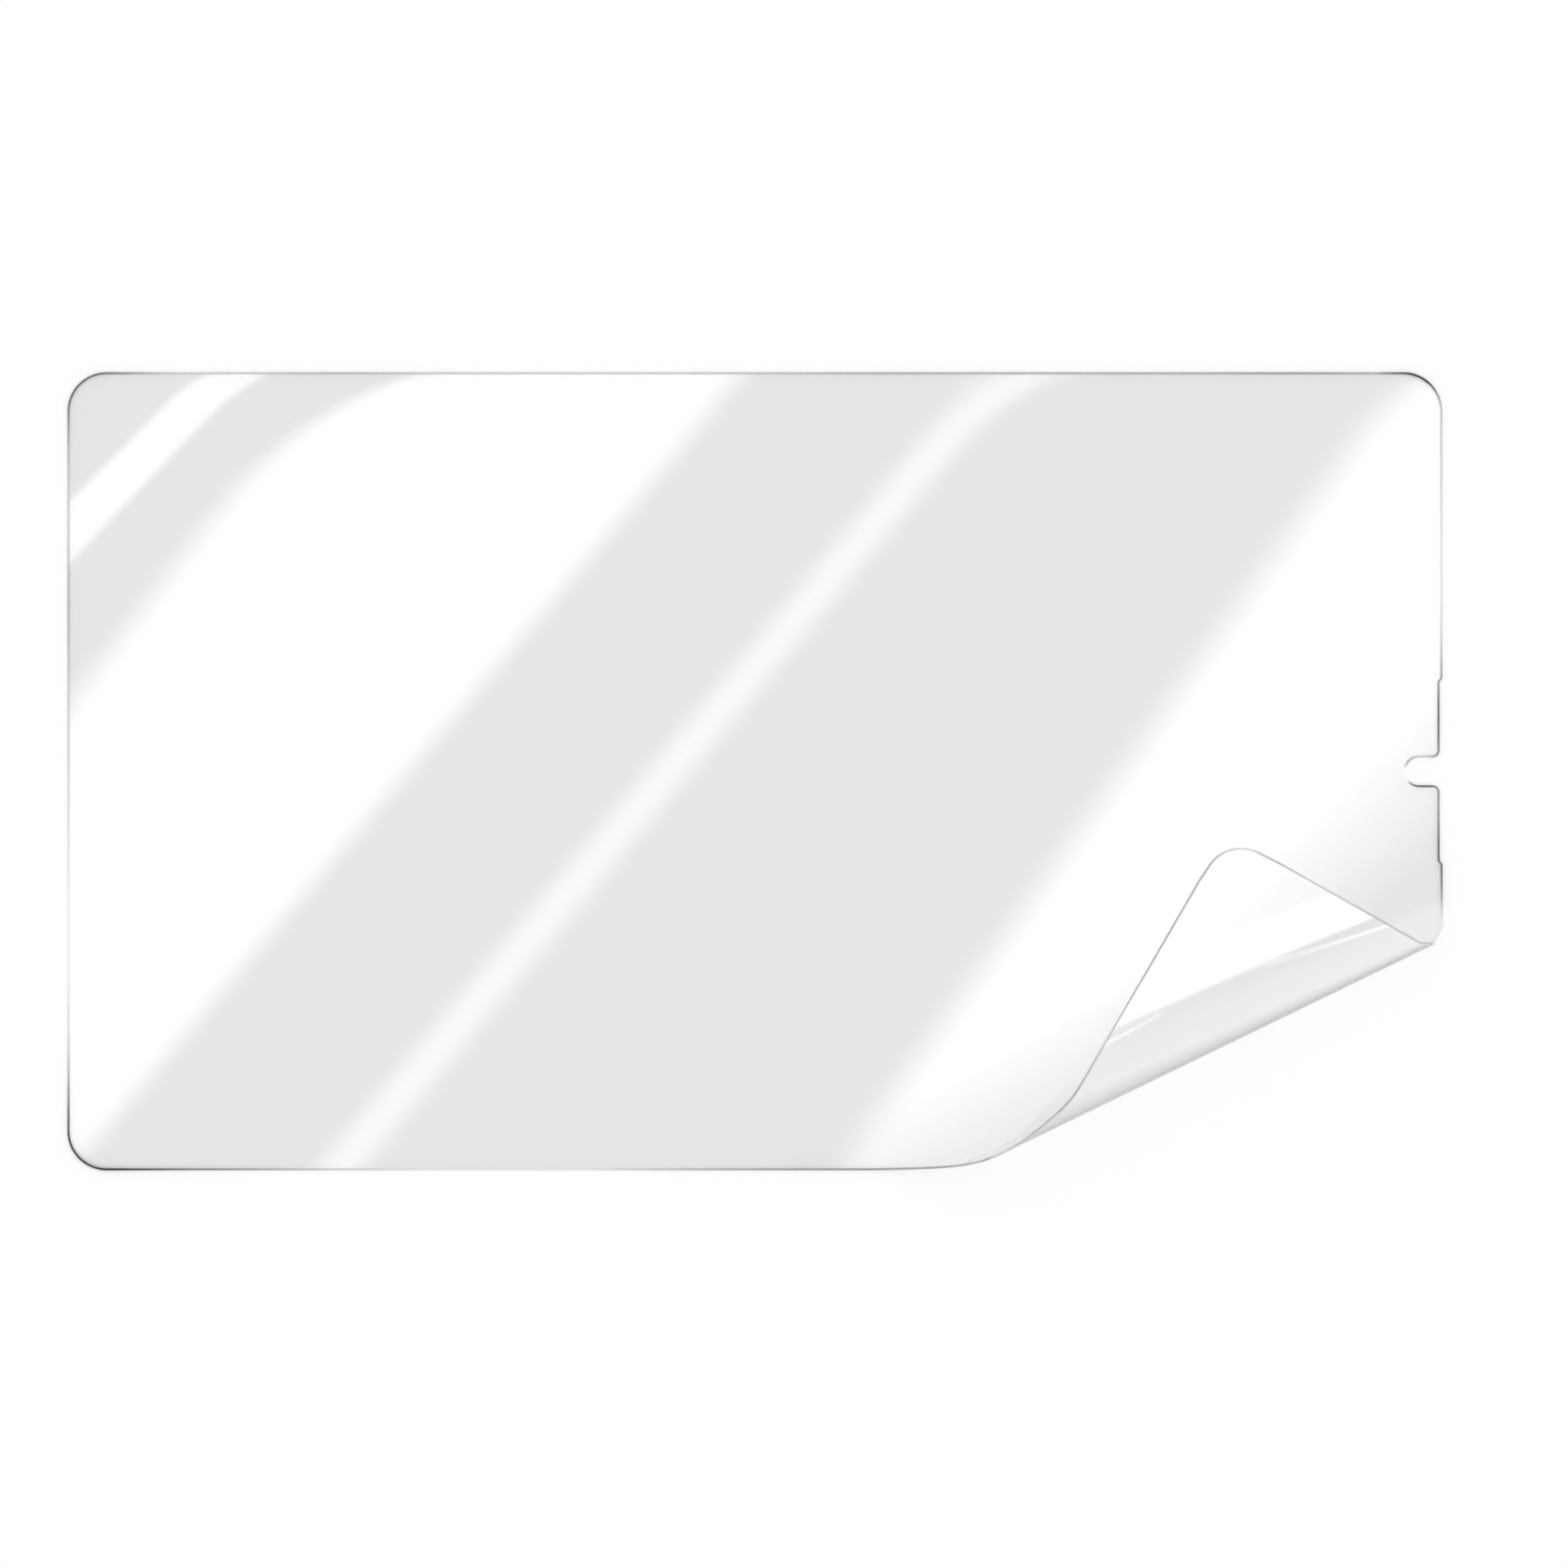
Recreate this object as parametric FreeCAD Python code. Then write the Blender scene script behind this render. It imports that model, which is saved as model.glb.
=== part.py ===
import FreeCAD, Part
import os
from math import acos, asin, cos, pi, radians, sin, tan

# Glass screen protector: one clear film sheet lying flat, with one corner curled up and over.
# The origin is the middle of the underside, +X runs along the long side and +Z points up.

# sheet
sheet_length = 206.0
sheet_width = 119.6
film_thickness = 0.25
corner_radius = 5.9

# recess and slot in the middle of the right short edge
recess_length = 27.9
recess_depth = 0.43
recess_slant = 0.6
slot_width = 4.15
slot_depth = 5.1
slot_mouth_radius = 1.0

# curled corner: how far along each edge the roll starts, and how tightly it rolls
curl_run_long = 86.6
curl_run_short = 36.7
roll_radius_wide = 6.45
roll_radius_narrow = 1.9
roll_turn = 168.5
flap_radius = 319.0

# lead-in: the strip before the roll, where the film bends up gently from the table
lead_in_run_long = 6.8
lead_in_run_short = 19.5
lead_in_angle = 3.5

# turned-over flap: where its corner lies, measured in from the sheet's own corner, and its edges
flap_corner_inset = 33.1
flap_corner_rise = 50.3
flap_long_edge_angle = 59.7
flap_short_edge_angle = 28.9

# sideways sway of the two film edges on the roll
long_edge_sway = -31.9
long_edge_skew = -45.1
short_edge_sway = -5.6
short_edge_skew = 26.8

half_length = sheet_length / 2
half_width = sheet_width / 2
roll_steps = 19
flap_steps = 11
turn_end = radians(roll_turn)
upright = FreeCAD.Vector(0, 0, 1)

# the fold line, where the roll starts, before the lead-in lifts it
long_start = FreeCAD.Vector(half_length - curl_run_long, -half_width, 0)
short_start = FreeCAD.Vector(half_length, curl_run_short - half_width, 0)
fold_length = (short_start - long_start).Length
along = (short_start - long_start) / fold_length
across = FreeCAD.Vector(along.y, -along.x, 0)
taper = (roll_radius_narrow / roll_radius_wide - 1) / fold_length
flap_corner = FreeCAD.Vector(half_length - flap_corner_inset, flap_corner_rise - half_width, 0)

# the lead-in runs from where each edge leaves the table, and tilts the roll about its middle line
lead_long_start = long_start - FreeCAD.Vector(lead_in_run_long, 0, 0)
lead_short_start = short_start + FreeCAD.Vector(0, lead_in_run_short, 0)
hinge_long = (lead_long_start + long_start) / 2
hinge_short = (lead_short_start + short_start) / 2
hinge_way = hinge_short - hinge_long
tilt = FreeCAD.Rotation(hinge_way, -lead_in_angle)
tilted_up = tilt.multVec(upright)


def tilted(point):
    return hinge_long + tilt.multVec(point - hinge_long)


def profile(turn):
    """Outer face of the curl in section at its wide end: a tight arc, then the flap's wide arc."""
    if turn <= turn_end:
        return roll_radius_wide * sin(turn), roll_radius_wide * (1 - cos(turn))
    reach = roll_radius_wide * sin(turn_end) + flap_radius * (sin(turn) - sin(turn_end))
    rise = roll_radius_wide * (1 - cos(turn_end)) + flap_radius * (cos(turn_end) - cos(turn))
    return reach, rise


def film_point(place, turn, depth):
    """Point of the curl at a place along the fold line and a turn of the film, depth into the film.

    The section shrinks evenly along the fold line, so every line of equal turn is straight."""
    reach, rise = profile(turn)
    size = 1 + taper * place
    point = long_start + along * place + across * (size * reach) + upright * (size * rise)
    lean = taper * (reach * sin(turn) - rise * cos(turn))
    normal = along * lean - across * sin(turn) + upright * cos(turn)
    return tilted(point + normal.normalize() * depth)


def flap_place(turn, side):
    """Place where the line of equal turn crosses a flap edge, seen square to the fold, and its change."""
    reach = profile(turn)[0]
    start = (long_start - flap_corner).dot(side)
    slide = along.dot(side)
    lift = across.dot(side)
    share = slide + taper * reach * lift
    place = -(start + reach * lift) / share
    change = -lift * (slide - start * taper) / share ** 2 * cos(turn)
    return place, change


def roll_place(turn, first, first_change, side, sway, skew):
    """Place of a film edge on the roll: a smooth cubic from the sheet's edge to the flap edge, with sway."""
    part = turn / turn_end
    span = roll_radius_wide * turn_end
    last, last_change = flap_place(turn_end, side)
    base = first * (2 * part ** 3 - 3 * part ** 2 + 1) + last * (3 * part ** 2 - 2 * part ** 3)
    bend = span * (first_change * (part ** 3 - 2 * part ** 2 + part) + last_change * (part ** 3 - part ** 2))
    return base + bend + part ** 2 * (1 - part) ** 2 * (sway + skew * (2 * part - 1))


long_angle = radians(flap_long_edge_angle)
short_angle = radians(flap_short_edge_angle)
long_side = FreeCAD.Vector(-sin(long_angle), cos(long_angle), 0)
short_side = FreeCAD.Vector(sin(short_angle), cos(short_angle), 0)
long_change = along.x / across.x
short_change = (1 + taper * fold_length) * along.y / across.y


def edge_place(turn, edge):
    """Place of the long or the short film edge at a turn of the film."""
    if edge == "long":
        if turn < turn_end:
            return roll_place(turn, 0, long_change, long_side, long_edge_sway, long_edge_skew)
        return flap_place(turn, long_side)[0]
    if turn < turn_end:
        return roll_place(turn, fold_length, short_change, short_side, short_edge_sway, short_edge_skew)
    return flap_place(turn, short_side)[0]


def line(x1, y1, x2, y2):
    return Part.makeLine(FreeCAD.Vector(x1, y1, 0), FreeCAD.Vector(x2, y2, 0))


def arc(x1, y1, x2, y2, x3, y3):
    first = FreeCAD.Vector(x1, y1, 0)
    middle = FreeCAD.Vector(x2, y2, 0)
    last = FreeCAD.Vector(x3, y3, 0)
    return Part.Arc(first, middle, last).toShape()


# flat part of the sheet, cut off where the lead-in starts
inner_length = half_length - corner_radius
inner_width = half_width - corner_radius
corner_mid = corner_radius * cos(pi / 4)
sheet_outline = [
    line(lead_long_start.x, -half_width, -inner_length, -half_width),
    arc(-inner_length, -half_width, -inner_length - corner_mid, -inner_width - corner_mid,
        -half_length, -inner_width),
    line(-half_length, -inner_width, -half_length, inner_width),
    arc(-half_length, inner_width, -inner_length - corner_mid, inner_width + corner_mid,
        -inner_length, half_width),
    line(-inner_length, half_width, inner_length, half_width),
    arc(inner_length, half_width, inner_length + corner_mid, inner_width + corner_mid,
        half_length, inner_width),
    line(half_length, inner_width, half_length, lead_short_start.y),
    Part.makeLine(lead_short_start, lead_long_start),
]
flat_film = Part.Face(Part.Wire(sheet_outline)).extrude(upright * film_thickness)


def closed_film(long_outer, long_inner, short_outer, short_inner):
    """Closed piece of film between its two edges: two faces, two edge walls and two end walls."""
    faces = [
        Part.makeRuledSurface(long_outer, short_outer, 1),
        Part.makeRuledSurface(long_inner, short_inner, 1),
        Part.makeRuledSurface(long_outer, long_inner, 1),
        Part.makeRuledSurface(short_outer, short_inner, 1),
    ]
    for end in (0, 1):
        corners = (long_outer, short_outer, short_inner, long_inner, long_outer)
        ring = [edge.Vertexes[end].Point for edge in corners]
        faces.append(Part.Face(Part.makePolygon(ring)))
    skin = Part.makeCompound(faces)
    skin.sewShape()
    solid = Part.makeSolid(skin.Shells[0])
    if solid.Volume < 0:
        solid.reverse()
    return solid


def lead_in_curve(first, hinge, last, depth):
    """Film edge on the lead-in: a parabola that leaves the table level and ends along the tilted film."""
    middle = hinge + (upright + tilted_up) * (depth / (1 + upright.dot(tilted_up)))
    curve = Part.BezierCurve()
    curve.setPoles([first + upright * depth, middle, tilted(last) + tilted_up * depth])
    return curve.toShape()


def edge_curve(turns, edge, depth):
    """Smooth curve of one film edge over a range of turns."""
    points = [film_point(edge_place(turn, edge), turn, depth) for turn in turns]
    curve = Part.BSplineCurve()
    curve.interpolate(Points=points, Parameters=turns)
    return curve.toShape()


def bent_film(turns):
    """Closed piece of the curl between two turns of the film."""
    return closed_film(edge_curve(turns, "long", 0), edge_curve(turns, "long", film_thickness),
                       edge_curve(turns, "short", 0), edge_curve(turns, "short", film_thickness))


# lead-in strip
lead_in = closed_film(
    lead_in_curve(lead_long_start, hinge_long, long_start, 0),
    lead_in_curve(lead_long_start, hinge_long, long_start, film_thickness),
    lead_in_curve(lead_short_start, hinge_short, short_start, 0),
    lead_in_curve(lead_short_start, hinge_short, short_start, film_thickness))

# roll and flap; the flap runs to just short of its sharp corner, which the rounding then takes off
long_run = FreeCAD.Vector(cos(long_angle), sin(long_angle), 0)
short_run = FreeCAD.Vector(-cos(short_angle), sin(short_angle), 0)
outward = (long_run + short_run).normalize()
flap_stop = flap_corner - outward * (corner_radius / 6)
stop_place = (flap_stop - long_start).dot(along)
stop_reach = (flap_stop - long_start).dot(across) / (1 + taper * stop_place)
stop_sine = (stop_reach - roll_radius_wide * sin(turn_end)) / flap_radius + sin(turn_end)
flap_turn = pi - asin(stop_sine)
roll_turns = [turn_end * step / (roll_steps - 1) for step in range(roll_steps)]
flap_turns = [turn_end + (flap_turn - turn_end) * step / (flap_steps - 1) for step in range(flap_steps)]
roll = bent_film(roll_turns)
flap = bent_film(flap_turns)

# rounded corner of the flap, cut through the flap only, square to the fold
corner_angle = pi - acos(long_run.dot(short_run))
tangent_run = corner_radius / tan(corner_angle / 2)
long_touch = flap_corner - long_run * tangent_run
short_touch = flap_corner - short_run * tangent_run
round_centre = flap_corner - outward * (corner_radius / sin(corner_angle / 2))
round_top = round_centre + outward * corner_radius
beyond = outward * corner_radius
tip_edges = [
    Part.Arc(long_touch, round_top, short_touch).toShape(),
    Part.makeLine(short_touch, short_touch + beyond),
    Part.makeLine(short_touch + beyond, long_touch + beyond),
    Part.makeLine(long_touch + beyond, long_touch),
]
tip_cutter = Part.Face(Part.Wire(tip_edges)).extrude(upright * (4 * roll_radius_wide))
tip_cutter.rotate(hinge_long, hinge_way, -lead_in_angle)
flap = flap.cut(tip_cutter)

# recess and slot, cut straight down through the sheet and the lead-in
notch = half_length - recess_depth
recess_end = recess_length / 2
recess_flat = recess_end - recess_slant
slot_half = slot_width / 2
mouth = slot_half + slot_mouth_radius
mouth_in = notch - slot_mouth_radius
mouth_mid = slot_mouth_radius * (1 - cos(pi / 4))
slot_centre = notch - slot_depth + slot_half
outside = half_length + recess_depth
slot_outline = [
    line(half_length, recess_end, notch, recess_flat),
    line(notch, recess_flat, notch, mouth),
    arc(notch, mouth, notch - mouth_mid, slot_half + mouth_mid, mouth_in, slot_half),
    line(mouth_in, slot_half, slot_centre, slot_half),
    arc(slot_centre, slot_half, slot_centre - slot_half, 0, slot_centre, -slot_half),
    line(slot_centre, -slot_half, mouth_in, -slot_half),
    arc(mouth_in, -slot_half, notch - mouth_mid, -slot_half - mouth_mid, notch, -mouth),
    line(notch, -mouth, notch, -recess_flat),
    line(notch, -recess_flat, half_length, -recess_end),
    line(half_length, -recess_end, outside, -recess_end),
    line(outside, -recess_end, outside, recess_end),
    line(outside, recess_end, half_length, recess_end),
]
lead_in_rise = tilted(short_start).z
cut_depth = upright * (2 * lead_in_rise)
slot_cutter = Part.Face(Part.Wire(slot_outline)).extrude(cut_depth * 2)
slot_cutter.translate(-cut_depth)

film = flat_film.fuse([lead_in, roll, flap]).cut(slot_cutter).removeSplitter()
screen_protector = film.Solids[0]

os.makedirs("parts", exist_ok=True)
screen_protector.exportStep("parts/screen_protector.step")
box = screen_protector.BoundBox
print("solids", len(film.Solids), "valid", screen_protector.isValid(), "faces", len(screen_protector.Faces))
print("volume", round(screen_protector.Volume, 1), "parts", round(flat_film.Volume, 1),
      round(lead_in.Volume, 1), round(roll.Volume, 1), round(flap.Volume, 1))
print("box", [round(v, 3) for v in (box.XMin, box.XMax, box.YMin, box.YMax, box.ZMin, box.ZMax)])
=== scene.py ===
import bpy
import numpy as np
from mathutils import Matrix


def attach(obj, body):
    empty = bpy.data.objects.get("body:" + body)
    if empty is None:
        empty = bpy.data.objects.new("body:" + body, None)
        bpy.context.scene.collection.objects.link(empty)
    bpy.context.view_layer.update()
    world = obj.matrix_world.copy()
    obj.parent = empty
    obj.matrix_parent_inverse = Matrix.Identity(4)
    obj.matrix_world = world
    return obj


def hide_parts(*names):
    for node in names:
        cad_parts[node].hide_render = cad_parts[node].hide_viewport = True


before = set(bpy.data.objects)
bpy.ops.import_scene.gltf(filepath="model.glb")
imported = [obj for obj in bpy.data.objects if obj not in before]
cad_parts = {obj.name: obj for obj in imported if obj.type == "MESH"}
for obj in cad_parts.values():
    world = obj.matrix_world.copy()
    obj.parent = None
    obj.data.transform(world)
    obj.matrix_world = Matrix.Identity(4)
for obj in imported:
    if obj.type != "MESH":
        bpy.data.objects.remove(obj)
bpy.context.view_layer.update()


# Film: one sheet of clear hard-coated film, die-cut to a screen's outline with a recess and a slot.
# It lies flat, and one corner has curled up and over on itself, so its sticky side shows there.
film_thickness = 0.00025
edge_round = 0.00012
edge_band = 0.00032
half_length = 0.103
half_width = 0.0598
corner_radius = 0.0059
recess_end = 0.01395
recess_slant = 0.0006
recess_depth = 0.00043
slot_half = 0.002075
slot_depth = 0.0051
mouth_radius = 0.001
curl_run_long = 0.0866
curl_run_short = 0.0367
roll_radius = 0.00645
roll_radius_narrow = 0.0019
roll_turn = np.radians(168.5)
flap_radius = 0.319
lead_in_long = 0.0068
lead_in_short = 0.0195
lead_in_angle = np.radians(3.5)
flap_corner_inset = 0.0331
flap_corner_rise = 0.0503
flap_long_angle = np.radians(59.7)
flap_short_angle = np.radians(28.9)
long_sway = -0.0319
long_skew = -0.0451
short_sway = -0.0056
short_skew = 0.0268


def unit(ways):
    """Directions scaled to a length of one."""
    return ways / np.linalg.norm(ways, axis=-1, keepdims=True)


# Fold line where the roll starts, the roll's taper along it, and the lead-in's middle line, about which
# the roll is tilted.
recess_flat = recess_end - recess_slant
notch = half_length - recess_depth
long_start = np.array([half_length - curl_run_long, -half_width])
short_start = np.array([half_length, curl_run_short - half_width])
fold_length = np.linalg.norm(short_start - long_start)
along = unit(short_start - long_start)
across = np.array([along[1], -along[0]])
taper = (roll_radius_narrow / roll_radius - 1) / fold_length
flap_corner = np.array([half_length - flap_corner_inset, flap_corner_rise - half_width])
lead_long_start = np.array([long_start[0] - lead_in_long, long_start[1], 0])
lead_short_start = np.array([short_start[0], short_start[1] + lead_in_short, 0])
hinge_long = (lead_long_start + np.append(long_start, 0)) / 2
hinge_short = (lead_short_start + np.append(short_start, 0)) / 2
hinge_way = unit(hinge_short - hinge_long)


def tilted(ways):
    """Directions turned about the lead-in's middle line by its angle, so that the curled corner rises."""
    kept = np.outer(ways @ hinge_way, hinge_way)
    swing = np.cross(ways, hinge_way) * np.sin(lead_in_angle)
    return kept + (ways - kept) * np.cos(lead_in_angle) + swing


def section(turn):
    """Reach and rise of the curl's outer face at its wide end: a tight arc, then a wide arc."""
    tight = np.minimum(turn, roll_turn)
    loose = np.maximum(turn, roll_turn)
    reach = roll_radius * np.sin(tight) + flap_radius * (np.sin(loose) - np.sin(roll_turn))
    rise = roll_radius * (1 - np.cos(tight)) + flap_radius * (np.cos(roll_turn) - np.cos(loose))
    return reach, rise


def curl(place, turn):
    """Points and film normals of the curl: the section at each turn, shrunk along the fold line, tilted."""
    reach, rise = section(turn)
    size = 1 + taper * place
    flat = long_start + place[:, None] * along + (size * reach)[:, None] * across
    lean = taper * (reach * np.sin(turn) - rise * np.cos(turn))
    tilt = lean[:, None] * along - np.sin(turn)[:, None] * across
    normal = unit(np.column_stack([tilt, np.cos(turn)]))
    points = np.column_stack([flat, size * rise])
    return hinge_long + tilted(points - hinge_long), tilted(normal)


def flap_place(turn, side):
    """Place where the straight line of equal turn crosses a flap edge seen from above, and its slope."""
    reach = section(turn)[0]
    start = (long_start - flap_corner) @ side
    share = along @ side + taper * reach * (across @ side)
    place = -(start + reach * (across @ side)) / share
    slope = -(across @ side) * (along @ side - start * taper) / share ** 2 * np.cos(turn)
    return place, slope


def roll_place(turn, first, first_slope, side, sway, skew):
    """Place of a film edge on the roll: a cubic from the flat edge to the flap edge, with some sway."""
    part = turn / roll_turn
    span = roll_radius * roll_turn
    last, last_slope = flap_place(np.array(roll_turn), side)
    base = first * (2 * part ** 3 - 3 * part ** 2 + 1) + last * (3 * part ** 2 - 2 * part ** 3)
    bend = first_slope * (part ** 3 - 2 * part ** 2 + part) + last_slope * (part ** 3 - part ** 2)
    return base + span * bend + part ** 2 * (1 - part) ** 2 * (sway + skew * (2 * part - 1))


def turn_at(points):
    """Place and turn of flap points given from above: the section's wide arc, solved for its turn."""
    place = (points - long_start) @ along
    reach = (points - long_start) @ across / (1 + taper * place)
    sine = (reach - roll_radius * np.sin(roll_turn)) / flap_radius + np.sin(roll_turn)
    return place, np.pi - np.arcsin(sine)


def arc(centre, radius, first, last, count):
    """Points of a flat arc between two angles in degrees."""
    angle = np.radians(np.linspace(first, last, count))
    return np.array(centre) + radius * np.column_stack([np.cos(angle), np.sin(angle)])


def straight(first, last, count):
    """Points evenly spaced along a straight run, without its two ends."""
    return np.linspace(first, last, count + 2)[1:-1]


# Rounded tip of the flap, and the two edges that run from the fold line over the roll to that tip.
tip_steps = 14
roll_turns = np.linspace(0, roll_turn, num=81)
flap_steps = straight(0, 1, count=12)
long_run = np.array([np.cos(flap_long_angle), np.sin(flap_long_angle)])
short_run = np.array([-np.cos(flap_short_angle), np.sin(flap_short_angle)])
tip_angle = np.pi - np.arccos(long_run @ short_run)
tip_way = unit(long_run + short_run)
tip_centre = flap_corner - tip_way * corner_radius / np.sin(tip_angle / 2)
tip_mid = np.degrees(np.arctan2(tip_way[1], tip_way[0]))
tip_half = np.degrees((np.pi - tip_angle) / 2)
tip_gap = tip_half / (2 * tip_steps)
long_tip = arc(tip_centre, corner_radius, tip_mid + tip_half, tip_mid + tip_gap, tip_steps)
short_tip = arc(tip_centre, corner_radius, tip_mid - tip_half, tip_mid - tip_gap, tip_steps)


def curl_edge(first, first_slope, flap_run, sway, skew, tip):
    """Points, normals and turns of a film edge: over the roll, along the flap, round half the tip."""
    side = np.array([-flap_run[1], flap_run[0]])
    tip_place, tip_turn = turn_at(tip)
    flap_turns = roll_turn + (tip_turn[0] - roll_turn) * flap_steps
    on_roll = roll_place(roll_turns, first, first_slope, side, sway, skew)
    on_flap = flap_place(flap_turns, side)[0]
    turns = np.concatenate([roll_turns, flap_turns, tip_turn])
    return *curl(np.concatenate([on_roll, on_flap, tip_place]), turns), turns


long_slope = along[0] / across[0]
short_slope = (1 + taper * fold_length) * along[1] / across[1]
long_curl, long_normal, curl_turns = curl_edge(
    0, long_slope, long_run, long_sway, long_skew, long_tip)
short_curl, short_normal, _ = curl_edge(
    fold_length, short_slope, short_run, short_sway, short_skew, short_tip)


def lead_in_edge(first, middle, last, steps):
    """Film edge on the lead-in: the parabola with three control points, and its direction."""
    part = steps[:, None]
    points = first * (1 - part) ** 2 + middle * 2 * part * (1 - part) + last * part ** 2
    return points, (middle - first) * (1 - part) + (last - middle) * part


def lead_in_edges(steps):
    """Both film edges on the lead-in, from the table to the start of the roll."""
    return (*lead_in_edge(lead_long_start, hinge_long, long_curl[0], steps),
            *lead_in_edge(lead_short_start, hinge_short, short_curl[0], steps))


# Lead-in: straight rungs from the long edge to the short edge, cut back to the recess where it passes.
lead_rungs = 14
fine = np.linspace(0, 1, num=201)
long_fine, _, short_fine, _ = lead_in_edges(fine)
cut_share = (notch - long_fine[:, 0]) / (short_fine[:, 0] - long_fine[:, 0])
cut_y = long_fine[:, 1] + cut_share * (short_fine[:, 1] - long_fine[:, 1])
flat_step = np.interp(recess_flat, -cut_y, fine)
end_step = np.interp(recess_end, -short_fine[:, 1], fine)
lead_steps = np.concatenate([np.linspace(0, flat_step, lead_rungs), np.linspace(end_step, 1, lead_rungs)])
lead_long, long_way, lead_short, short_way = lead_in_edges(lead_steps)
rung = lead_short - lead_long
keep = np.where(lead_steps > flat_step, 1, (notch - lead_long[:, 0]) / rung[:, 0])[:, None]
lead_short = lead_long + rung * keep
long_up = unit(np.cross(long_way, rung))
short_up = unit(np.cross(long_way + (short_way - long_way) * keep, rung))
long_edge = np.concatenate([lead_long, long_curl[1:]])
short_edge = np.concatenate([lead_short, short_curl[1:]])
long_normal = np.concatenate([long_up, long_normal[1:]])
short_normal = np.concatenate([short_up, short_normal[1:]])

# Shading by the film's turn in degrees: the gloss turns with the roll only from its steeper part on, and
# the sheet's painted soft shade ends there. The roll gets painted shade, darkest where it stands upright:
# this painted tone sets in later at the wide end than at the tight end, fades over the top and is faint on
# the flap.
gloss_from = 55
gloss_over = 40
shade_until = 45
shade_over = 40
wide_end_power = 30
tight_end_power = 6
over_power = 1.3
flap_dim = (0.06, 0.18)
turned = np.concatenate([np.zeros(len(lead_steps)), curl_turns[1:]])
steep = np.clip((np.degrees(turned) - gloss_from) / gloss_over, 0, 1)
steep = (steep ** 2 * (3 - 2 * steep))[:, None]
flat_up = np.array([0.0, 0.0, 1.0])
long_shown = long_normal * steep + flat_up * (1 - steep)
short_shown = short_normal * steep + flat_up * (1 - steep)
lower = (1 + np.cos(np.pi * np.clip((np.degrees(turned) - shade_until) / shade_over, 0, 1))) / 2
# Painted dark tone of the roll and the flap, kept in the dim attribute.
upright = np.clip(np.sin(turned), 0, 1)
over_dim = np.maximum(upright ** over_power, np.interp(turned, [roll_turn, turned[-1]], flap_dim))
long_dim = np.where(turned < np.pi / 2, upright ** wide_end_power, over_dim)
short_dim = np.where(turned < np.pi / 2, upright ** tight_end_power, over_dim)

# Flat outline, clockwise from the curled corner's long edge round to its short edge.
round_points = 25
mouth_points = 9
inner_length = half_length - corner_radius
inner_width = half_width - corner_radius
slot_centre = notch - slot_depth + slot_half
upper_mouth = arc((notch - mouth_radius, slot_half + mouth_radius), mouth_radius, 0, -90, mouth_points)
lower_mouth = upper_mouth[::-1] * [1, -1]
flat_outline = np.concatenate([
    straight(lead_long_start[:2], (-inner_length, -half_width), count=26),
    arc((-inner_length, -inner_width), corner_radius, 270, 180, round_points),
    straight((-half_length, -inner_width), (-half_length, inner_width), count=26),
    arc((-inner_length, inner_width), corner_radius, 180, 90, round_points),
    straight((-inner_length, half_width), (inner_length, half_width), count=48),
    arc((inner_length, inner_width), corner_radius, 90, 0, round_points),
    straight((half_length, inner_width), (half_length, recess_end), count=10),
    np.array([[half_length, recess_end], [notch, recess_flat]]),
    straight((notch, recess_flat), upper_mouth[0], count=4),
    upper_mouth,
    straight(upper_mouth[-1], (slot_centre, slot_half), count=3),
    arc((slot_centre, 0), slot_half, 90, 270, round_points),
    straight((slot_centre, -slot_half), lower_mouth[0], count=3),
    lower_mouth,
])
flat_count = len(flat_outline)
flat_points = np.column_stack([flat_outline, np.zeros(flat_count)])
flat_normals = np.tile(flat_up, (flat_count, 1))
loop = np.concatenate([flat_points, short_edge, long_edge[::-1]])
normals = np.concatenate([flat_normals, short_normal, long_normal[::-1]])
shown = unit(np.concatenate([flat_normals, short_shown, long_shown[::-1]]))
loop_lower = np.concatenate([np.ones(flat_count), lower, lower[::-1]])
loop_dim = np.concatenate([np.zeros(flat_count), short_dim, long_dim[::-1]])

# Painted dark line of the cut edge, standing in for the shade the edge shows: strongest at the corners and
# round the recess, fainter along the straight runs.
# Each spot is a place on the outline, its reach, and how much darker or lighter the painted line is there.
# The line is seen through both skins, so each skin holds back only its share of the light.
line_plain = 0.3
line_spots = [
    ((-0.1005, 0.0575), 0.008, 0.53),
    ((-0.0625, 0.0598), 0.010, 0.10),
    ((0.0200, 0.0598), 0.020, 0.13),
    ((0.0550, 0.0598), 0.020, 0.15),
    ((0.0830, 0.0598), 0.014, 0.22),
    ((0.0996, 0.0592), 0.0035, 0.75),
    ((0.1030, 0.0290), 0.018, -0.13),
    ((0.1026, 0.0075), 0.009, 0.5),
    ((0.1000, 0.0022), 0.0018, -0.35),
    ((0.0975, -0.0005), 0.0011, -0.9),
    ((0.1000, -0.0022), 0.0022, 0.25),
    ((0.1026, -0.0135), 0.008, 0.55),
    ((0.1030, -0.0225), 0.0035, -0.25),
    ((0.0770, -0.0125), 0.005, 0.22),
    ((0.0725, -0.0108), 0.003, -0.12),
    ((0.0660, -0.0150), 0.005, 0.18),
    ((0.0600, -0.0265), 0.013, 0.27),
    ((0.0430, -0.0470), 0.009, 0.15),
    ((0.0310, -0.0575), 0.010, 0.24),
    ((0.0130, -0.0598), 0.024, 0.24),
    ((-0.0250, -0.0598), 0.009, -0.10),
    ((-0.0450, -0.0598), 0.020, -0.12),
    ((-0.0850, -0.0598), 0.016, 0.28),
    ((-0.1005, -0.0575), 0.0105, 0.68),
    ((-0.1030, -0.0260), 0.022, -0.19),
    ((-0.1030, 0.0240), 0.007, 0.15),
]
loop_line = np.full(len(loop), line_plain)
for spot_place, spot_reach, spot_amount in line_spots:
    spot_far = np.linalg.norm(loop[:, :2] - spot_place, axis=1) / spot_reach
    loop_line += spot_amount * np.exp(-spot_far ** 2)
loop_line = 1 - np.sqrt(1 - np.clip(loop_line, 0, 1))
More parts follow.
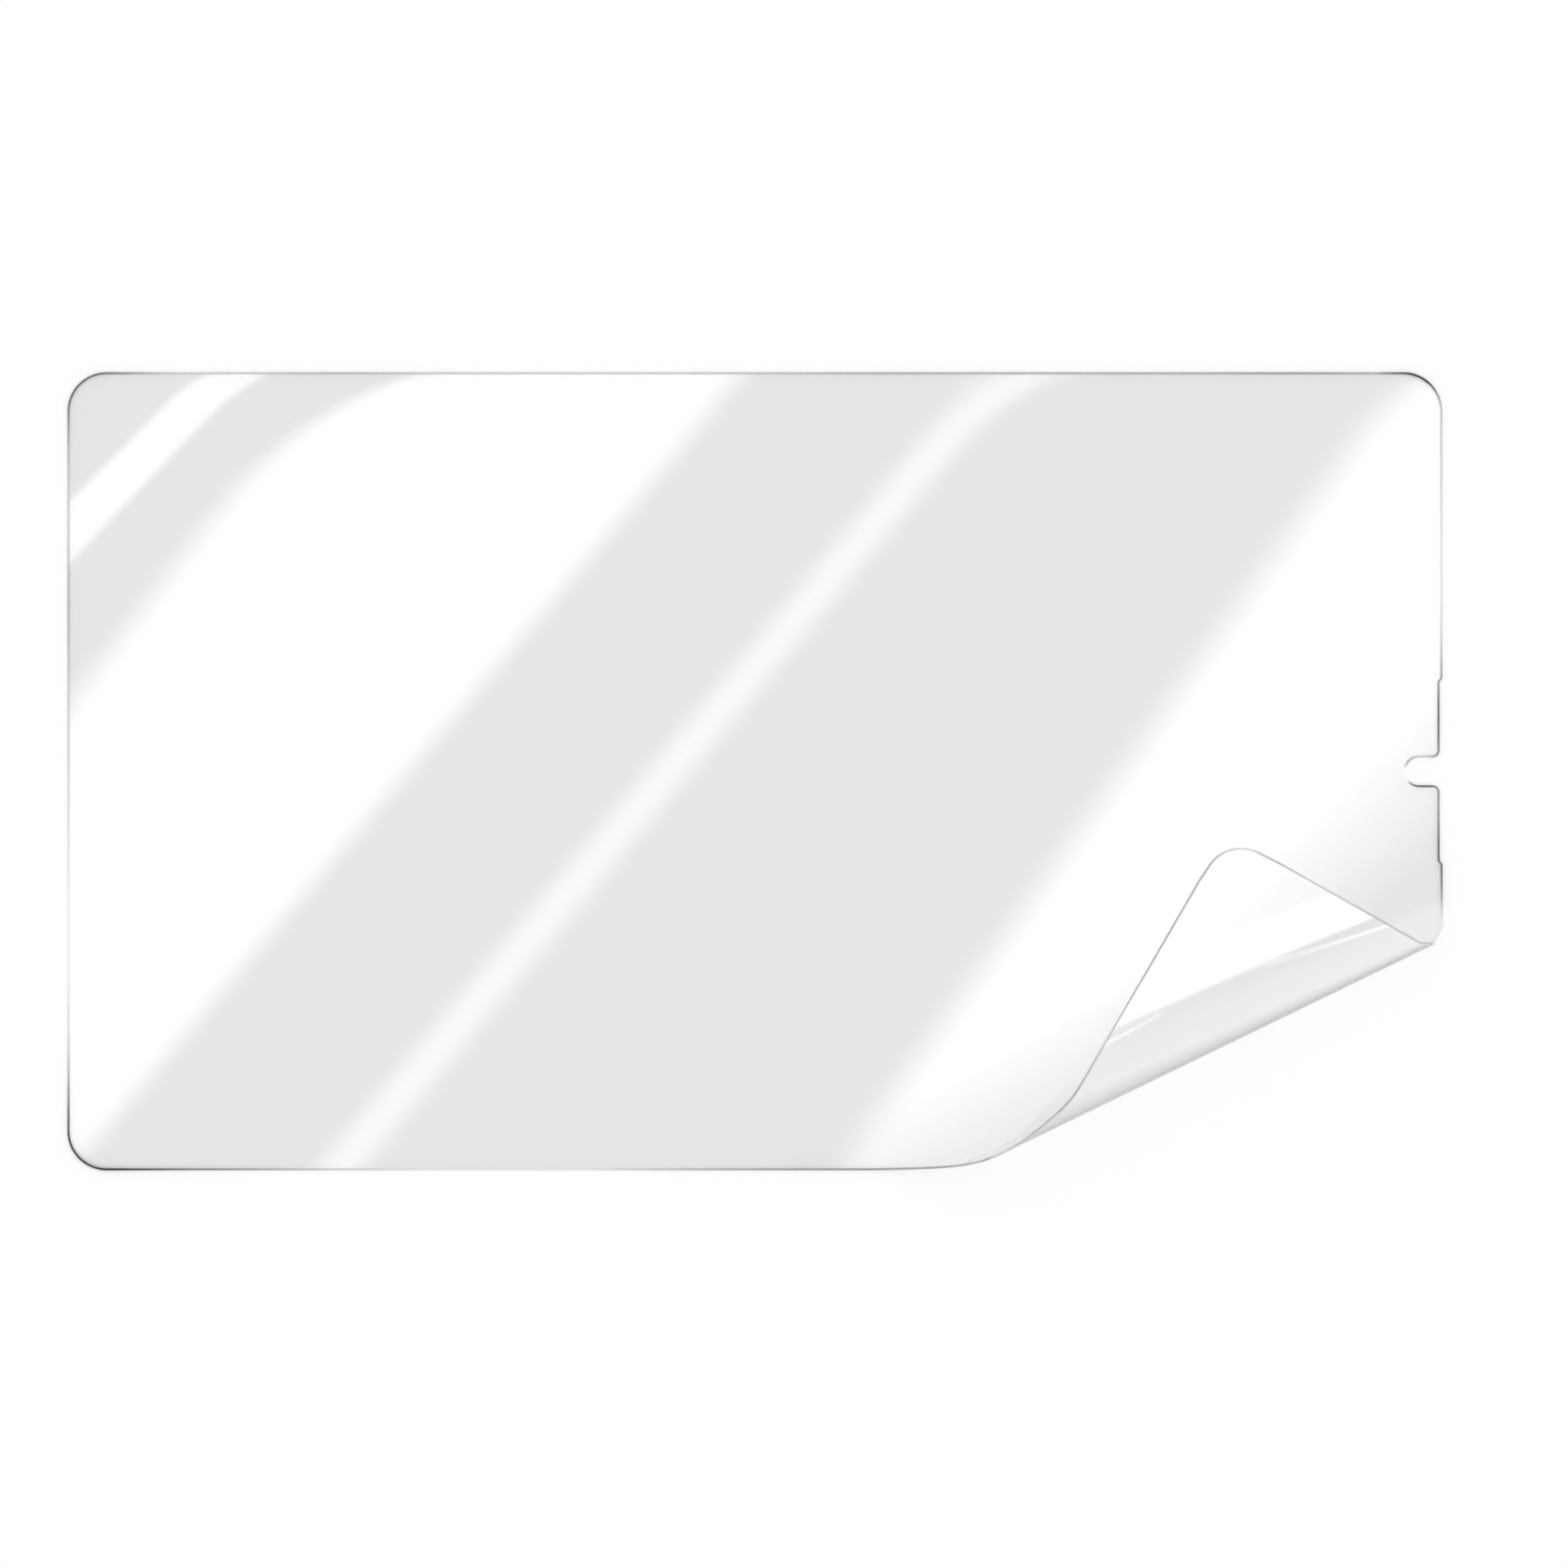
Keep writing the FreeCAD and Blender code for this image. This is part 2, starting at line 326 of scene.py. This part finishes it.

# Cut edge with both rims rounded: each loop point carries the same small section, underside to top.
# It starts and ends a little inside the edge, where the painted dark line of the cut edge begins.
ahead = unit(np.roll(loop, -1, 0) - loop)
inward = unit(np.cross(ahead + np.roll(ahead, 1, 0), normals))
rim_bend = np.radians(np.linspace(0, 90, num=5))
half_in = np.concatenate([[edge_band], edge_round * (1 - np.sin(rim_bend))])
half_up = np.concatenate([[0], edge_round * (1 - np.cos(rim_bend))])
half_out = np.concatenate([[0], np.sin(rim_bend)])
half_lift = np.concatenate([[1], np.cos(rim_bend)])
rim_in = np.concatenate([half_in, half_in[::-1]])
rim_up = np.concatenate([half_up, film_thickness - half_up[::-1]])
rim_out = np.concatenate([half_out, half_out[::-1]])
rim_lift = np.concatenate([-half_lift, half_lift[::-1]])
rim_count = len(rim_in)
film_points = (loop[:, None] + inward[:, None] * rim_in[None, :, None]
               + normals[:, None] * rim_up[None, :, None]).reshape(-1, 3)
film_normals = (shown[:, None] * rim_lift[None, :, None]
                - inward[:, None] * rim_out[None, :, None]).reshape(-1, 3)
loop_count = len(loop)
step = np.arange(loop_count)[:, None] * rim_count
next_step = np.roll(step, -1, 0)
level = np.arange(rim_count - 1)[None, :]
rim_faces = np.stack([step + level, step + level + 1, next_step + level + 1, next_step + level], -1)
rim_faces = rim_faces.reshape(-1, 4)

# Top and underside: straight rungs along the curl, and one flat panel.
rung_count = len(long_edge)
short_chain = flat_count + np.arange(rung_count)
long_chain = loop_count - 1 - np.arange(rung_count)
rungs = np.column_stack([short_chain[:-1], short_chain[1:], long_chain[1:], long_chain[:-1]])
panel = np.concatenate([np.arange(flat_count), short_chain[:1], long_chain[:1]])
top = rim_count - 1
faces = rim_faces.tolist() + (rungs[:, ::-1] * rim_count + top).tolist() + (rungs * rim_count).tolist()
faces += [(panel[::-1] * rim_count + top).tolist(), (panel * rim_count).tolist()]
film_mesh = bpy.data.meshes.new("film")
film_mesh.from_pydata(film_points.tolist(), [], faces)
slots = np.zeros(len(faces), np.int32)
slots[:len(rim_faces)] = 1
film_mesh.polygons.foreach_set("material_index", slots)
film_mesh.polygons.foreach_set("use_smooth", np.ones(len(faces), bool))
film_mesh.normals_split_custom_set_from_vertices(film_normals.tolist())
for layer_name, loop_values in (("lower", loop_lower), ("line", loop_line), ("dim", loop_dim)):
    layer = film_mesh.attributes.new(layer_name, "FLOAT", "POINT")
    layer.data.foreach_set("value", np.repeat(loop_values, rim_count).astype(np.float32))
film = bpy.data.objects.new("film", film_mesh)
bpy.context.scene.collection.objects.link(film)


def add_node(tree, kind, inputs=None, **settings):
    """New shader node: its settings by name, then each input linked to a socket or set to a plain value."""
    node = tree.nodes.new(kind)
    for name, setting in settings.items():
        setattr(node, name, setting)
    for name, value in (inputs or {}).items():
        if isinstance(value, bpy.types.NodeSocket):
            tree.links.new(value, node.inputs[name])
        else:
            node.inputs[name].default_value = value
    return node


def arithmetic(tree, operation, *terms, use_clamp=False):
    """Result of one step of arithmetic on sockets and plain values."""
    terms = dict(enumerate(terms))
    return add_node(tree, "ShaderNodeMath", terms, operation=operation, use_clamp=use_clamp).outputs[0]


def ramp(tree, value, first, last, low, high, course="LINEAR"):
    """Value that runs from low at first to high at last, and stays level beyond them."""
    ends = {"Value": value, "From Min": first, "From Max": last, "To Min": low, "To Max": high}
    return add_node(tree, "ShaderNodeMapRange", ends, interpolation_type=course).outputs[0]


def blend(tree, share, colour, other):
    """Colour that passes into another one as the share grows from 0 to 1."""
    parts = {"Factor": share, "A": colour, "B": other}
    return add_node(tree, "ShaderNodeMix", parts, data_type="RGBA").outputs["Result"]


def place_along(tree, way):
    """Place of a film point along a flat direction: the dot product of the two."""
    point = add_node(tree, "ShaderNodeTexCoord").outputs["Object"]
    pair = {0: point, 1: (*way, 0)}
    return add_node(tree, "ShaderNodeVectorMath", pair, operation="DOT_PRODUCT").outputs["Value"]


# Clear film: faintly grey, glossy, and see-through to soft light so that it leaves only a faint shadow.
pure_white = (1, 1, 1, 1)
film_grey = (0.949, 0.949, 0.951, 1)
# Painted shade colours: a darker grey that the film turns to beside the bend and on the roll, and a paler
# grey for a layer behind.
painted_shade_grey = (0.63, 0.63, 0.632, 1)
painted_shade_behind_grey = (0.83, 0.83, 0.835, 1)
film_veil = (0.985, 0.985, 0.985, 1)
clear = bpy.data.materials.new("clear_film")
clear.use_nodes = True
clear_tree = clear.node_tree
clear_body = clear_tree.nodes["Principled BSDF"]
clear_body.inputs["Transmission Weight"].default_value = 1
clear_body.inputs["IOR"].default_value = 1.6
clear_body.inputs["Roughness"].default_value = 0.02

# Painted shade in the film's colour beside the bend, in two parts across the sheet: one deepens towards the
# wide end of the roll, the other towards its tight end, where it is gone again before the roll turns up.
# The flat sheet also gets a little painted shade all over, which the flap does not, and the roll's painted
# dark tone from the dim attribute is added to it.
sheet_shade = 0.15
wide_way = (0.4786, -0.878)
wide_from = 0.0535
wide_to = 0.0659
wide_shade = 0.54
tight_way = (0.7071, -0.7071)
tight_from = 0.0629
tight_to = 0.0806
tight_shade = 0.71
tight_end_before = 0.0042
tight_end_after = 0.0024
fold_place = across @ long_start
clear_lower = add_node(clear_tree, "ShaderNodeAttribute", attribute_name="lower").outputs["Fac"]
clear_dim = add_node(clear_tree, "ShaderNodeAttribute", attribute_name="dim").outputs["Fac"]
clear_across = place_along(clear_tree, across)
clear_wide = ramp(clear_tree, place_along(clear_tree, wide_way), wide_from, wide_to, 0, wide_shade)
clear_tight = ramp(clear_tree, place_along(clear_tree, tight_way), tight_from, tight_to, 0, tight_shade)
clear_end = ramp(
    clear_tree, clear_across, fold_place - tight_end_before, fold_place + tight_end_after, 1, 0)
clear_tight_ended = arithmetic(clear_tree, "MULTIPLY", clear_tight, clear_end)
clear_shade = arithmetic(clear_tree, "MAXIMUM", clear_wide, clear_tight_ended)
clear_shade = arithmetic(clear_tree, "ADD", clear_shade, sheet_shade)
painted_shade_share = arithmetic(clear_tree, "MULTIPLY_ADD", clear_shade, clear_lower, clear_dim, use_clamp=True)
# Painted shade: the film's colour darkens towards the darker grey by this share.
painted_shade_colour = blend(clear_tree, painted_shade_share, film_grey, painted_shade_grey)
clear_tree.links.new(painted_shade_colour, clear_body.inputs["Base Color"])

# A layer behind the first one, and any layer met by soft light, lets light straight through.
# The count of bounces so far tells the first mirror image and the second layer of film.
one_bounce = 1.5
behind_from = 0.009
behind_to = 0.002
ray = add_node(clear_tree, "ShaderNodeLightPath").outputs
# The layer behind still carries painted shade near the tight end and the roll's painted dark tone, in a
# paler grey.
behind_end = ramp(clear_tree, clear_across, fold_place - behind_from, fold_place - behind_to, 1, 0)
behind_shade = arithmetic(clear_tree, "MULTIPLY", clear_tight, behind_end)
behind_painted_shade_share = arithmetic(clear_tree, "MULTIPLY_ADD", behind_shade, clear_lower, clear_dim, use_clamp=True)
behind_painted_shade_colour = blend(clear_tree, behind_painted_shade_share, pure_white, painted_shade_behind_grey)
soft_light = arithmetic(clear_tree, "MAXIMUM", ray["Is Shadow Ray"], ray["Is Diffuse Ray"])
mirrored = arithmetic(clear_tree, "SUBTRACT", ray["Is Glossy Ray"], ray["Is Transmission Ray"])
early = arithmetic(clear_tree, "LESS_THAN", ray["Ray Depth"], one_bounce)
first_mirrored = arithmetic(clear_tree, "MULTIPLY", mirrored, early)
second_layer = arithmetic(clear_tree, "GREATER_THAN", ray["Transmission Depth"], one_bounce)
behind = arithmetic(clear_tree, "MAXIMUM", first_mirrored, second_layer)
straight_through = arithmetic(clear_tree, "MAXIMUM", soft_light, behind)
veil = blend(clear_tree, soft_light, behind_painted_shade_colour, film_veil)
open_film = add_node(clear_tree, "ShaderNodeBsdfTransparent", {"Color": veil})
either = {0: straight_through, 1: clear_body.outputs[0], 2: open_film.outputs[0]}
clear_mix = add_node(clear_tree, "ShaderNodeMixShader", either)
clear_tree.links.new(clear_mix.outputs[0], clear_tree.nodes["Material Output"].inputs["Surface"])
film_mesh.materials.append(clear)

# Cut edge: the light inside the film leaves it elsewhere, so the bare edge reads as a thin dark line. This
# line is painted shade:
# a near-black colour on the edge faces, as strong as the line attribute says, and left out of mirror
# images.
cut = bpy.data.materials.new("cut_edge_painted_shade")
cut.use_nodes = True
cut_tree = cut.node_tree
cut_body = cut_tree.nodes["Principled BSDF"]
cut_body.inputs["Base Color"].default_value = (0.02, 0.02, 0.022, 1)
cut_body.inputs["Roughness"].default_value = 0.5
cut_line = add_node(cut_tree, "ShaderNodeAttribute", attribute_name="line").outputs["Fac"]
cut_mirrored = add_node(cut_tree, "ShaderNodeLightPath").outputs["Is Glossy Ray"]
cut_shown = arithmetic(cut_tree, "SUBTRACT", cut_line, cut_mirrored, use_clamp=True)
cut_tree.links.new(cut_shown, cut_body.inputs["Alpha"])
film_mesh.materials.append(cut)

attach(film, "root")
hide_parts("screen_protector")


# Floor: a plain table top with a matt white coat, lit only by the soft white room.
# It reaches far past the picture and lies a hair under the film.
floor_reach = 4
floor_drop = 0.0001
floor_corners = np.array([(-1, -1), (1, -1), (1, 1), (-1, 1)]) * floor_reach
floor_points = np.column_stack([floor_corners, np.full(len(floor_corners), -floor_drop)])
floor_mesh = bpy.data.meshes.new("floor")
floor_mesh.from_pydata(floor_points.tolist(), [], [(0, 1, 2, 3)])
floor = bpy.data.objects.new("floor", floor_mesh)
bpy.context.scene.collection.objects.link(floor)
floor_paint = bpy.data.materials.new("white_table")
floor_paint.use_nodes = True
floor_body = floor_paint.node_tree.nodes["Principled BSDF"]
floor_body.inputs["Base Color"].default_value = (0.98, 0.98, 0.98, 1)
floor_body.inputs["Roughness"].default_value = 1
floor_body.inputs["Specular IOR Level"].default_value = 0
floor_mesh.materials.append(floor_paint)


# Strip lights: long soft boxes hung side by side high over the table, seen only in the film's gloss.
# Each is drawn between the two borders that its mirror image has on the sheet, as the camera sees it.
camera_place = np.array([0.00436, -0.0019, 0.5548])
strip_height = 1.2
flap_strip_height = 1.18
strip_middle = 0.5
bend_pull = 0.55
cool_green = 0.8


def border(start, knee, end):
    """Straight line from start to knee, then a smooth bend that leaves along it and stops at end."""
    start, knee, end = np.array(start), np.array(knee), np.array(end)
    way = unit(knee - start)
    turn = knee + way * np.linalg.norm(end - knee) * bend_pull
    part = np.linspace(0, 1, num=17)[:, None]
    bend = knee * (1 - part) ** 2 + turn * 2 * part * (1 - part) + end * part ** 2
    return np.concatenate([start[None], bend])


def strip_light(name, left, right, height=strip_height, soft=strip_middle, power=2.3, cool=0.0):
    """Soft box between two borders, drawn where the film mirrors it and faded towards both borders."""
    edges = np.stack([left, right], 1).reshape(-1, 2)
    edges = camera_place[:2] + (edges - camera_place[:2]) * (1 + height / camera_place[2])
    points = np.column_stack([edges, np.full(len(edges), height)])
    quads = np.arange(len(left) - 1)[:, None] * 2 + np.array([0, 2, 3, 1])
    mesh = bpy.data.meshes.new(name)
    mesh.from_pydata(points.tolist(), [], quads.tolist())
    layer = mesh.uv_layers.new(name="across")
    layer.data.foreach_set("uv", np.tile(np.array([0, 0, 0, 1, 1, 1, 1, 0], np.float32), len(quads)))
    box = bpy.data.objects.new(name, mesh)
    bpy.context.scene.collection.objects.link(box)
    paint = bpy.data.materials.new(name)
    paint.use_nodes = True
    tree = paint.node_tree
    tree.nodes.clear()
    spot = add_node(tree, "ShaderNodeUVMap", uv_map="across").outputs[0]
    sideways = add_node(tree, "ShaderNodeSeparateXYZ", {0: spot}).outputs["X"]
    inwards = arithmetic(tree, "PINGPONG", sideways, strip_middle)
    fade = ramp(tree, inwards, 0, soft, 0, 1, "SMOOTHSTEP")
    colour = blend(tree, fade, (1 - cool, 1 - cool * cool_green, 1, 1), pure_white)
    strength = arithmetic(tree, "MULTIPLY", fade, power)
    glow = add_node(tree, "ShaderNodeEmission", {"Color": colour, "Strength": strength})
    open_air = add_node(tree, "ShaderNodeBsdfTransparent")
    both = add_node(tree, "ShaderNodeAddShader", {0: glow.outputs[0], 1: open_air.outputs[0]})
    add_node(tree, "ShaderNodeOutputMaterial", {"Surface": both.outputs[0]})
    paint.cycles.emission_sampling = "NONE"
    mesh.materials.append(paint)
    box.visible_camera = False
    box.visible_diffuse = False
    box.visible_shadow = False


strip_light("strip_narrow",
            border((-0.1242, 0.0196), (-0.0886, 0.0555), (-0.0747, 0.0607)),
            border((-0.1220, 0.0099), (-0.0819, 0.0521), (-0.0675, 0.0618)), soft=0.16, cool=0.2)
strip_light("strip_wide",
            border((-0.1510, -0.0475), (-0.0869, 0.0363), (-0.0457, 0.0610)),
            border((-0.1435, -0.1127), (-0.0009, 0.0560), (0.0089, 0.0657)), soft=0.115, cool=0.2)
strip_light("strip_thin",
            border((-0.0974, -0.0933), (0.0200, 0.0479), (0.0291, 0.0598)),
            border((-0.0831, -0.0933), (0.0330, 0.0470), (0.0537, 0.0598)), power=1.8, cool=0.2)
strip_light("strip_broad",
            border((-0.0692, -0.1671), (0.0858, 0.0510), (0.0961, 0.0604)),
            border((0.0720, -0.1710), (0.2690, 0.0070), (0.3060, 0.0540)), soft=0.05, power=2.5, cool=0.2)
strip_light("strip_flap",
            border((0.1310, -0.0910), (0.1750, -0.0200), (0.1970, 0.0150)),
            border((0.1380, -0.1050), (0.1950, -0.0550), (0.2690, 0.0070)),
            height=flap_strip_height, soft=0.06, power=1.2)
strip_light("glint_upper",
            border((0.1770, -0.0725), (0.1925, -0.0690), (0.2080, -0.0640)),
            border((0.1785, -0.0765), (0.1945, -0.0755), (0.2100, -0.0720)))
strip_light("glint_lower",
            border((0.1550, -0.1000), (0.1595, -0.0950), (0.1640, -0.0890)),
            border((0.1580, -0.1025), (0.1620, -0.0965), (0.1650, -0.0895)))


# Room: even soft white light from all round, a little over the level at which the table turns white.
# Only in gloss does its ceiling show dark between the strip lights.
room_level = 1.02
ceiling_from = 0.86
ceiling_to = 0.98
world = bpy.data.worlds.new("soft_room")
bpy.context.scene.world = world
world.use_nodes = True
world.cycles.sampling_method = "NONE"
room_tree = world.node_tree
room_tree.nodes.clear()
room_way = add_node(room_tree, "ShaderNodeTexCoord").outputs["Generated"]
room_up = add_node(room_tree, "ShaderNodeSeparateXYZ", {0: room_way}).outputs["Z"]
room_ceiling = ramp(room_tree, room_up, ceiling_from, ceiling_to, 1, 0, "SMOOTHSTEP")
room_gloss = add_node(room_tree, "ShaderNodeLightPath").outputs["Is Glossy Ray"]
room_parts = {"Factor": room_gloss, "A": room_level, "B": room_ceiling}
room_white = add_node(room_tree, "ShaderNodeMix", room_parts)
room_shine = {"Color": pure_white, "Strength": room_white.outputs[0]}
room_light = add_node(room_tree, "ShaderNodeBackground", room_shine)
add_node(room_tree, "ShaderNodeOutputWorld", {"Surface": room_light.outputs[0]})


# Camera: a long lens straight above the table, with the sheet's long side across the picture.
# It stands where the strip lights were drawn from.
view = bpy.data.cameras.new("camera")
view.lens = 85
view.sensor_width = 36
view.clip_start = 0.01
view.clip_end = 20
camera = bpy.data.objects.new("camera", view)
camera.location = camera_place
bpy.context.scene.collection.objects.link(camera)
bpy.context.scene.camera = camera
bpy.context.scene.view_settings.view_transform = "Standard"
